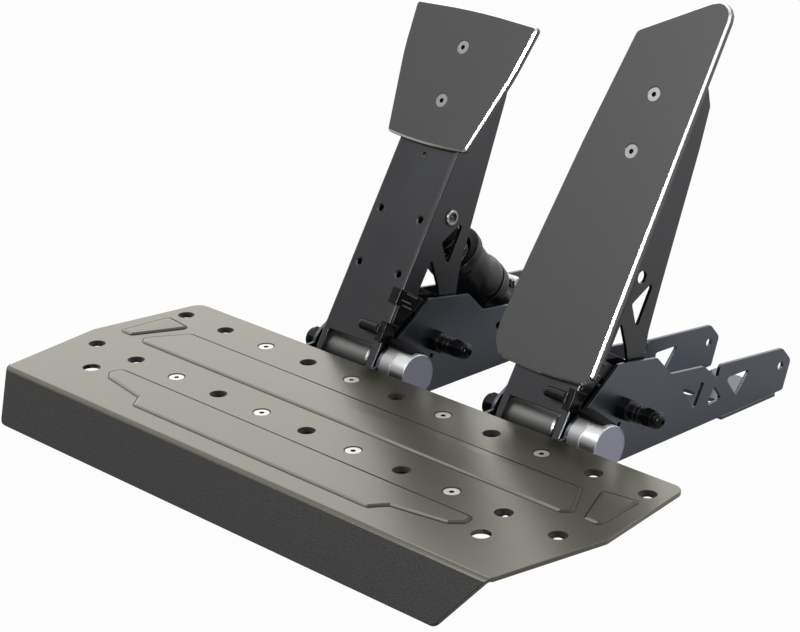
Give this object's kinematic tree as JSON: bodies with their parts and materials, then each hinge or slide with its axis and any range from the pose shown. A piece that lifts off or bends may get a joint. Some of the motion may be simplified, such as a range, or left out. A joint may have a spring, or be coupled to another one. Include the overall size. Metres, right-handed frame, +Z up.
{
  "type": "sim racing pedal set",
  "caption": "Sim racing pedal set: sprung brake pedal with damper and sprung throttle pedal on sheet-metal bases, joined by a folded heel plate with countersunk hole rows.",
  "frame": {"origin": "centre of the set's bounding box on the floor, under the middle of the heel plate's width", "axes": "+X to the driver's right, +Y away from the driver, +Z up"},
  "size_m": [0.4446, 0.417, 0.2737],
  "materials": {
    "heel_coat": "satin fine-grained warm grey coat",
    "bright_steel": "bright",
    "dark_coat": "satin dark blue-grey coat",
    "pedal_black": "satin dark grey with bare bevelled edges",
    "grey_screw": "dull",
    "black_screw": "satin black",
    "bushing": "dull, self-lubricating",
    "grey_sleeve": "satin",
    "silver": "fine turned",
    "cap_grey": "satin lavender grey",
    "board": "circuit board",
    "black_plastic": "satin",
    "black_rubber": "matt",
    "red_rubber": "elastomer",
    "spring_steel": "dark spring wire"
  },
  "bodies": {
    "base": {"heel_plate": "heel_coat", "heel_plate_screws": "bright_steel", "heel_plate_nuts": "bright_steel", "brake_side_plate_left": "dark_coat", "brake_side_plate_right": "dark_coat", "brake_floor_plate": "heel_coat", "brake_floor_screws": "black_screw", "brake_rest_bar": "bright_steel", "brake_rest_bar_screws": "black_screw", "brake_axle_bushings": "bushing", "brake_sensor_housing": "silver", "brake_sensor_cap": "cap_grey", "brake_sensor_board": "board", "brake_sensor_screws": "bright_steel", "brake_cable_gland": "black_plastic", "brake_damper_pin": "bright_steel", "brake_damper_bracket": "dark_coat", "brake_bracket_screws": "black_screw", "throttle_side_plate_left": "dark_coat", "throttle_side_plate_right": "dark_coat", "throttle_floor_plate": "heel_coat", "throttle_floor_screws": "black_screw", "throttle_rest_bar": "bright_steel", "throttle_rest_bar_screws": "black_screw", "throttle_axle_bushings": "bushing", "throttle_sensor_housing": "silver", "throttle_sensor_cap": "cap_grey", "throttle_sensor_board": "board", "throttle_sensor_screws": "bright_steel", "throttle_cable_gland": "black_plastic", "throttle_return_spring": "spring_steel", "controller_box": "black_plastic"},
    "brake_pedal": {"brake_arm": "dark_coat", "brake_axle": "bright_steel", "brake_axle_sleeve": "grey_sleeve", "brake_axle_nut": "black_screw", "brake_sensor_magnet": "bright_steel", "brake_pedal_plate": "pedal_black", "brake_pedal_screws": "grey_screw", "brake_pedal_nuts": "bright_steel", "brake_edge_peg": "black_plastic", "brake_edge_pad": "black_rubber", "brake_damper_bolt": "bright_steel", "brake_damper_bolt_nut": "grey_screw"},
    "brake_damper": {"brake_load_cell_block": "black_plastic", "brake_load_cell": "bright_steel", "brake_damper_ring": "black_plastic", "brake_damper_body": "black_plastic", "brake_damper_rubbers": "red_rubber", "brake_damper_spring": "spring_steel"},
    "brake_rod": {"brake_damper_rod": "bright_steel"},
    "throttle_pedal": {"throttle_arm": "dark_coat", "throttle_axle": "bright_steel", "throttle_axle_sleeve": "grey_sleeve", "throttle_axle_nut": "black_screw", "throttle_sensor_magnet": "bright_steel", "throttle_pedal_plate": "pedal_black", "throttle_pedal_fasteners": "grey_screw", "throttle_edge_grips": "black_rubber", "throttle_spring_bar": "bright_steel"}
  },
  "joints": [
    {"name": "brake_hinge", "type": "hinge", "parent": "base", "child": "brake_pedal", "pos_m": [-0.08, -0.00124, 0.0295], "axis": [-1, 0, 0], "range_deg": [0, 5], "stiffness_Nm_per_rad": 120, "springref_deg": -3.44},
    {"name": "damper_swing", "type": "hinge", "parent": "base", "child": "brake_damper", "pos_m": [-0.08, 0.13107, 0.02267], "axis": [-1, 0, 0], "range_deg": [-0.2, 1.4]},
    {"name": "damper_stroke", "type": "slide", "parent": "brake_damper", "child": "brake_rod", "axis": [0, 0.6239, -0.7815], "range_m": [-0.0002, 0.0091], "deforming": ["brake_damper_spring", "brake_damper_rubbers"]},
    {"name": "throttle_hinge", "type": "hinge", "parent": "base", "child": "throttle_pedal", "pos_m": [0.08, -0.00124, 0.0295], "axis": [-1, 0, 0], "range_deg": [0, 20], "stiffness_Nm_per_rad": 10, "springref_deg": -14.32, "deforming": ["throttle_return_spring"]}
  ],
  "couplings": [
    {"joint": "damper_swing", "follows": "brake_hinge", "ratio": 0.243},
    {"joint": "damper_stroke", "follows": "brake_hinge", "m_per_rad": 0.1003}
  ]
}
